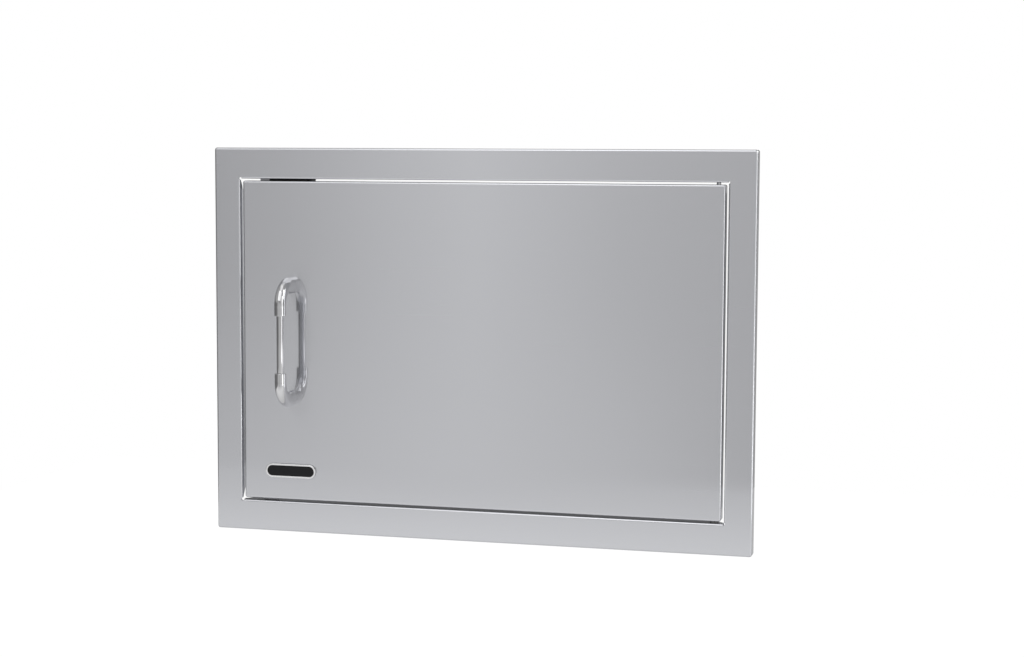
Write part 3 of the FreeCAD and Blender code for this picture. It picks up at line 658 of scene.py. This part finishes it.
def spin(graph, outline, sides):  # an outline of radius and height, spun about its own axis
    grid, row, angle = rollable(graph, len(outline), sides)
    radii, heights = zip(*outline)
    radius, height = graph.choose(row, radii), graph.choose(row, heights)
    spot = graph.join(radius * angle.maths("COSINE"), radius * angle.maths("SINE"), height)
    shape = rolled(graph, grid, spot)
    x, y, z = graph.split(graph.node("GeometryNodeInputPosition"))
    away = (x * x + y * y).maths("SQRT")
    rings = graph.join(away / mm, z / mm, 0.0)  # what the turned steel's rings follow
    return graph.node("GeometryNodeStoreNamedAttribute",
                      {"data_type": "FLOAT2", "domain": "CORNER"},
                      {"Geometry": shape, "Name": "UVMap", "Value": rings})


def spread(graph, places, shape):  # a copy at each place, turned to the axis that is kept there
    axis = graph.node("GeometryNodeInputNamedAttribute", {"data_type": "FLOAT_VECTOR"},
                      {"Name": "axis"})
    turned = graph.node("FunctionNodeAlignRotationToVector", None, {"Vector": axis})
    return graph.node("GeometryNodeInstanceOnPoints", None,
                      {"Points": places, "Instance": shape, "Rotation": turned})


def swing(start, end, steps):  # angles from one to the other, given in degrees
    return [math.radians(start + (end - start) * step / steps) for step in range(steps + 1)]


def arc(radius, height, size, start, end, steps=4):  # points round a corner, 0 outward and 90 up
    return [(radius + size * math.cos(angle), height + size * math.sin(angle))
            for angle in swing(start, end, steps)]


def ringed(outer, inner, low, high, edge):  # the closed outline of a ring with rounded edges
    start = arc(inner + edge, high - edge, edge, 180, 90, 3)
    return (start + arc(outer - edge, high - edge, edge, 90, 0, 3)
            + arc(outer - edge, low + edge, edge, 0, -90, 3)
            + arc(inner + edge, low + edge, edge, -90, -180, 3) + start[:1])


def cutCross(graph, head, given):  # the crossed recess in a screw's head
    slot, length = given["slot"], given["slotLength"]
    for wide, tall in ((slot, length), (length, slot)):
        size = graph.join(wide, tall, given["slotDepth"] * 2)
        box = graph.node("GeometryNodeMeshCube", None, {"Size": size})
        lift = graph.join(0.0, 0.0, given["rise"])
        cut = graph.node("GeometryNodeTransform", None, {"Geometry": box, "Translation": lift})
        head = graph.node("GeometryNodeMeshBoolean",
                          {"operation": "DIFFERENCE", "solver": "EXACT"},
                          {"Mesh 1": head, "Mesh 2": cut})
    return head


# one piece of a kind, or several: its sizes are in millimetres, and above is how far it stands
# past its outline's height 0, towards the end that its axis points to
def turn(name, outline, sizes, above, axis, finish):
    lengths = {label: value * mm for label, value in sizes.items()}
    graph, places, given = newTree(name, sizes)
    shape = spin(graph, outline(given), turnedSides)
    if "slot" in sizes:
        shape = cutCross(graph, shape, given)
    endTree(graph, spread(graph, places, shape), finishes[finish])
    seats, axes = [], []
    for low, high in solidsOf(name):
        along = axis(low, high) if callable(axis) else axis
        half = abs((high - low).dot(along)) / 2
        seats.append((low + high) / 2 + along * (half - above * mm))
        axes.append(along)
    dress(grow("turned_" + name, graph, lengths, seats, axes), name)


# Rivets that hold the catch's bracket and the door's stop

frameRivets = {"head": 3.0, "rise": 1.1, "shank": 1.6, "grip": 3.0, "tail": 2.5, "upset": 1.0}


def rivetOutline(size):  # a domed head with a hollow in its middle, and a pulled tail
    shank, seat, end = size["shank"], size["grip"] * -1, (size["grip"] + size["upset"]) * -1
    dome = [(size["head"] * math.sin(angle), size["rise"] * math.cos(angle))
            for angle in swing(18, 90, 8)]
    pulled = [(size["tail"] * math.sin(angle),
               (size["grip"] + size["upset"] * math.cos(angle)) * -1)
              for angle in swing(90, 15, 5)]
    brim, sunk = dome[0][0], size["rise"] * 0.45
    hollow = [(0, sunk), (brim * 0.8, sunk), (brim, size["rise"] * 0.6)]
    return hollow + dome + [(shank, 0), (shank, seat)] + pulled + [(0, end)]


turn("frame_rivets", rivetOutline, frameRivets, frameRivets["rise"], towardsMiddle,
     "turned_steel")


# Rivets that hold the strike plate

strikeRivets = {"head": 2.9, "rise": 1.3, "shank": 1.6, "grip": 2.3, "tail": 2.4, "upset": 1.0,
                "edge": 0.15}


def sunkRivetOutline(size):  # a head that tapers into the plate, with a dip in its middle
    head, shank, tail, edge = [size[label] for label in ("head", "shank", "tail", "edge")]
    seat, end = size["grip"] * -1, (size["grip"] + size["upset"]) * -1
    sunk = size["rise"] * -0.25
    dip = [(0, sunk), (head * 0.3, sunk), (head * 0.36, 0)]
    return dip + [(head, 0), (head, edge * -1), (shank, (head - shank + edge) * -1), (shank, seat),
                  (tail - edge, seat), (tail, (size["grip"] + edge) * -1), (tail - edge, end),
                  (0, end)]


turn("strike_rivets", sunkRivetOutline, strikeRivets, 0, back, "turned_steel")


# Screws of the catch and the handle

catchScrews = {"head": 3.0, "rise": 1.8, "shank": 1.6, "length": 5.5, "edge": 0.25,
               "slot": 0.62, "slotLength": 3.4, "slotDepth": 1.1}
handleScrews = {"head": 3.8, "rise": 2.6, "shank": 2.0, "length": 11.2, "edge": 0.3,
                "slot": 0.8, "slotLength": 4.2, "slotDepth": 1.5}


def screwOutline(size):
    head, rise, shank, edge = [size[label] for label in ("head", "rise", "shank", "edge")]
    flat, straight = 0.45, 0.3  # the shares of its radius and height that aren't rounded
    crown = [(head * (flat + (1 - flat) * math.cos(angle)),
              rise * (straight + (1 - straight) * math.sin(angle)))
             for angle in swing(90, 15, 5)]
    end = size["length"] * -1
    return ([(0, rise)] + crown + [(head, edge), (head - edge, 0), (shank, 0),
            (shank, edge - size["length"]), (shank - edge, end), (0, end)])


turn("catch_screws", screwOutline, catchScrews, catchScrews["rise"], back, "turned_steel")
turn("handle_screws", screwOutline, handleScrews, handleScrews["rise"], back, "turned_steel")


# Washers under the handle's screws, and the one that the door rests on

handleWashers = {"outer": 6.0, "bore": 2.3, "rise": 1.0, "edge": 0.12}
thrustWasher = {"outer": 4.8, "bore": 2.45, "rise": 1.0, "edge": 0.15}


def washerOutline(size):
    return ringed(size["outer"], size["bore"], 0, size["rise"], size["edge"])


turn("handle_washers", washerOutline, handleWashers, handleWashers["rise"], back,
     "turned_steel")
turn("lower_thrust_washer", washerOutline, thrustWasher, thrustWasher["rise"], up,
     "bearing_plastic")


# Bushings of the two hinge pins

upperBushing = {"flange": 4.8, "rise": 1.0, "body": 3.68, "length": 3.5, "bore": 2.43,
                "edge": 0.25}
lowerBushing = {"flange": 4.8, "rise": 1.05, "body": 3.68, "length": 8.0, "bore": 2.43,
                "edge": 0.25}


def bushingOutline(size):
    body, bore, rise, edge = [size[label] for label in ("body", "bore", "rise", "edge")]
    flange = (arc(size["flange"] - edge, rise - edge, edge, 90, 0, 3)
              + arc(size["flange"] - edge, edge, edge, 0, -90, 3))
    end = size["length"] * -1
    foot = [(body, 0), (body, edge * 2 - size["length"]), (body - edge, end)]
    inside = [(bore + edge, end), (bore, edge - size["length"]), (bore, rise - edge),
              (bore + edge, rise)]
    return flange + foot + inside + flange[:1]


turn("upper_hinge_bushing", bushingOutline, upperBushing, upperBushing["rise"], up,
     "bearing_plastic")
turn("lower_hinge_bushing", bushingOutline, lowerBushing, lowerBushing["rise"], -up,
     "bearing_plastic")


# The fixed lower hinge pin

lowerPin = {"head": 4.4, "rise": 1.6, "shank": 2.38, "length": 17.5, "point": 0.6, "edge": 0.5}


def headedPinOutline(size):
    head, rise, shank, edge = [size[label] for label in ("head", "rise", "shank", "edge")]
    point, tip = size["point"], size["point"] - size["length"]
    return ([(0, rise)] + arc(head - edge, rise - edge, edge, 90, 0)
            + [(head, edge / 2), (head - edge / 2, 0), (shank, 0), (shank, tip)]
            + arc(shank - point, tip, point, 0, -90) + [(0, size["length"] * -1)])


turn("lower_hinge_pin", headedPinOutline, lowerPin, lowerPin["rise"], -up, "turned_steel")


# The upper hinge pin, which slides down to let the door off

releasePin = {"shank": 2.38, "length": 47.05, "point": 0.6, "collar": 4.0, "collarHigh": -15.05,
              "collarLow": -17.05, "clipHigh": -44.35, "clipLow": -45.15, "groove": 1.88,
              "edge": 0.3}


def releasePinOutline(size):  # its collar stands on the finger tab, and the clip sits in its groove
    shank, point, edge = size["shank"], size["point"], size["edge"]
    collar = (arc(size["collar"] - edge, size["collarHigh"] - edge, edge, 90, 0, 3)
              + arc(size["collar"] - edge, size["collarLow"] + edge, edge, 0, -90, 3))
    groove = [(shank, size["clipHigh"]), (size["groove"], size["clipHigh"]),
              (size["groove"], size["clipLow"]), (shank, size["clipLow"])]
    return ([(0, 0)] + arc(shank - point, point * -1, point, 90, 0)
            + [(shank, size["collarHigh"])] + collar + [(shank, size["collarLow"])] + groove
            + arc(shank - edge, edge - size["length"], edge, 0, -90)
            + [(0, size["length"] * -1)])


turn("upper_hinge_pin", releasePinOutline, releasePin, 0, up, "turned_steel")


# Plugs in the liner over the handle's screws

linerPlugs = {"flange": 8.6, "rise": 0.9, "body": 6.85, "length": 3.0, "wall": 1.0, "edge": 0.25}


def plugOutline(size):  # a rim with a shallow ring in its face, a barbed wall and a hollow back
    rim, rise, edge, body = [size[label] for label in ("flange", "rise", "edge", "body")]
    length, wall, inside = size["length"], size["wall"], size["body"] - size["wall"]
    face = [(0, rise), (rim * 0.2, rise), (rim * 0.24, rise - edge), (rim * 0.62, rise - edge),
            (rim * 0.66, rise)]
    barb = [(body, 0), (body - edge, length * -0.35), (body, length * -0.6),
            (body - edge * 1.5, length * -1)]
    hollow = [(inside, length * -1), (inside, wall * -1), (0, wall * -1)]
    return face + arc(rim - edge, rise - edge, edge, 90, 0) + [(rim, 0)] + barb + hollow


turn("liner_plugs", plugOutline, linerPlugs, linerPlugs["rise"], back, "plug_plastic")


# The stop's rubber bumper

bumper = {"button": 5.0, "rise": 3.0, "stem": 1.9, "grip": 1.5, "tail": 2.7, "barb": 1.4,
          "edge": 1.2}


def bumperOutline(size):  # a button with a dip in its top, and a stem with a barb behind the plate
    button, rise, stem, edge = [size[label] for label in ("button", "rise", "stem", "edge")]
    seat, end = size["grip"] * -1, (size["grip"] + size["barb"]) * -1
    dip = [(0, rise - edge / 4), (button * 0.25, rise - edge / 4), (button * 0.32, rise)]
    return (dip + arc(button - edge, rise - edge, edge, 90, 0)
            + [(button, edge / 3), (button - edge / 3, 0), (stem, 0), (stem, seat),
               (size["tail"], seat), (stem, end), (0, end)])


turn("stop_bumper", bumperOutline, bumper, bumper["rise"], -back, "soft_rubber")


# The handle's straight grip

handleGrip = {"outer": 4.0, "wall": 1.0, "length": 81.8, "edge": 0.3}


def gripOutline(size):
    return ringed(size["outer"], size["outer"] - size["wall"], size["length"] * -0.5,
                  size["length"] * 0.5, size["edge"])


turn("handle_grip", gripOutline, handleGrip, handleGrip["length"] / 2, up, "bright_chrome")
print("turned pieces made")


# The release pin's spring: a coil with closed ends, from the carrier's lower ear to the finger tab

spring = {
    "coils": 8.0,
    "dead": 1.1,  # turns that are closed at each end
    "wire": 0.7,
    "rim": 3.75,
    "travel": 8.5,
    "steps": 40,  # points in each turn
    "sides": 10,
}


def windSpring():
    low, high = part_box("pin_spring")
    sizes = {"coils": spring["coils"], "wire": spring["wire"] * mm, "rim": spring["rim"] * mm,
             "height": high.z - low.z, "dead": spring["dead"]}
    graph, places, given = newTree("pin_spring", sizes)
    count = int(spring["coils"] * spring["steps"])
    line = graph.node("GeometryNodeCurvePrimitiveLine")
    line = graph.node("GeometryNodeResampleCurve", None, {"Curve": line, "Count": count})
    turns = graph.node("GeometryNodeSplineParameter") * given["coils"]
    closedLow = turns.maths("MINIMUM", given["dead"])
    closedHigh = (turns - given["coils"] + given["dead"]).maths("MAXIMUM", 0.0)
    live = (turns - closedLow - closedHigh) / (given["coils"] - given["dead"] * 2)
    openHeight = given["height"] - given["wire"] * (given["dead"] * 2 + 1)
    stacked = closedLow + closedHigh + 0.5  # wires below the wire's middle
    height = given["wire"] * stacked + openHeight * live
    angle = turns * fullTurn
    spot = graph.join(given["rim"] * angle.maths("COSINE"), given["rim"] * angle.maths("SINE"),
                      height)
    coil = graph.node("GeometryNodeSetPosition", None, {"Geometry": line, "Position": spot})
    section = graph.node("GeometryNodeCurvePrimitiveCircle", None,
                         {"Resolution": spring["sides"], "Radius": given["wire"] / 2})
    coil = graph.node("GeometryNodeCurveToMesh", None,
                      {"Curve": coil, "Profile Curve": section, "Fill Caps": True})
    endTree(graph, spread(graph, places, coil), drawnWire)
    seat = Vector(((low.x + high.x) / 2, (low.y + high.y) / 2, low.z))
    piece = dress(grow("coiled_pin_spring", graph, sizes, [seat], [up]), "pin_spring")
    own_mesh(piece)
    print("spring wound")


windSpring()


# The handle's elbows: an oval that follows a leg, a bend and a socket, and tapers round the bend

elbow = {"leg": 11.8, "bend": 22.0, "foot": 9.2, "socket": 6.3, "straight": 9.6, "edge": 0.5,
         "bore": 4.0, "boreDepth": 9.0}
# rows of points from the foot, out along the body and back down the socket's bore
elbowRows = {"foot": 1, "body": 72, "rim": 5, "face": 1, "bore": 1, "end": 1}
elbowSides = 64


def bendElbow(name, side):
    sizes = {label: value * mm for label, value in elbow.items()}
    sizes["side"] = side
    graph, places, given = newTree(name, sizes)
    leg, bend, socket, edge = [given[label] for label in ("leg", "bend", "socket", "edge")]
    grid, row, around = rollable(graph, sum(elbowRows.values()) + 1, elbowSides)
    passed, first = [], 0
    for count in elbowRows.values():  # each is 0 before its rows and 1 after them
        passed.append(((row - first) / count).maths("MINIMUM", 1.0).maths("MAXIMUM", 0.0))
        first += count
    opened, body, rounded, faced, bored, closed = passed
    rim = rounded * quarterTurn
    arcLength = bend * quarterTurn
    along = body * (leg + arcLength + given["straight"] - edge)
    onLeg = along.maths("MINIMUM", leg)
    onSocket = (along - leg - arcLength).maths("MAXIMUM", 0.0)
    angle = (along - onLeg - onSocket) / bend
    out = onLeg + bend * angle.maths("SINE")
    down = (bend * (1 - angle.maths("COSINE")) + onSocket + edge * rim.maths("SINE")
            - given["boreDepth"] * bored)
    tight = (1 - rim.maths("COSINE")) * edge + (socket - edge - given["bore"]) * faced
    full = opened * (1 - closed)
    width = (socket - tight) * full
    depth = (given["foot"] + (socket - given["foot"]) * angle / quarterTurn - tight) * full
    reach = depth * around.maths("SINE")
    spot = graph.join(width * around.maths("COSINE"), (out + reach * angle.maths("SINE")) * -1,
                      (reach * angle.maths("COSINE") - down) * given["side"])
    shape = rolled(graph, grid, spot)
    endTree(graph, spread(graph, places, shape), finishes["bright_chrome"])
    low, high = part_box(name)
    end = low.z if side > 0 else high.z
    height = end + side * (elbow["bend"] + elbow["straight"]) * mm
    seat = Vector(((low.x + high.x) / 2, high.y, height))
    dress(grow("bent_" + name, graph, sizes, [seat], [up]), name)


bendElbow("handle_upper_elbow", 1)
bendElbow("handle_lower_elbow", -1)
print("handle bent")


# Stamped, folded and moulded pieces: the node's own shape with its cut edges eased

easedEdges = {  # in millimetres
    "upper_hinge_plate": 0.3, "lower_hinge_plate": 0.3, "catch_bracket": 0.25, "door_stop": 0.25,
    "strike_plate": 0.2, "pin_carrier": 0.25, "pin_finger_tab": 0.25, "pin_retaining_clip": 0.12,
    "catch_housing": 0.4, "catch_magnet": 0.5, "catch_pole_plates": 0.2, "door_stiffener": 0.2,
}
stampedPieces = ("pin_finger_tab", "pin_retaining_clip")  # without the rings of turned steel
easing = {"segments": 2, "profile": 0.5, "sharpAngle": 35, "flatAngle": 0.5}


def easeEdges(name, width):
    work = bmesh.new()
    work.from_mesh(nodes[name].data)
    bmesh.ops.remove_doubles(work, verts=work.verts, dist=meshing["nodeGap"])
    bmesh.ops.dissolve_limit(work, angle_limit=math.radians(easing["flatAngle"]),
                             verts=work.verts, edges=work.edges)
    bmesh.ops.recalc_face_normals(work, faces=work.faces)
    sharpAngle = math.radians(easing["sharpAngle"])
    sharp = [edge for edge in work.edges
             if edge.is_manifold and edge.calc_face_angle() > sharpAngle]
    bmesh.ops.bevel(work, geom=sharp, offset=width * mm, segments=easing["segments"],
                    profile=easing["profile"], affect="EDGES", clamp_overlap=True,
                    offset_type="OFFSET", harden_normals=False, material=-1)
    mesh = bpy.data.meshes.new("eased_" + name)
    work.to_mesh(mesh)
    work.free()
    piece = bpy.data.objects.new("eased_" + name, mesh)
    bpy.context.scene.collection.objects.link(piece)
    mesh.materials.append(stampedSteel if name in stampedPieces else finishes[slotOf[name]])
    smoothed(mesh)
    dress(piece, name)


for name, width in easedEdges.items():
    easeEdges(name, width)
print("edges eased on", len(easedEdges), "pieces")
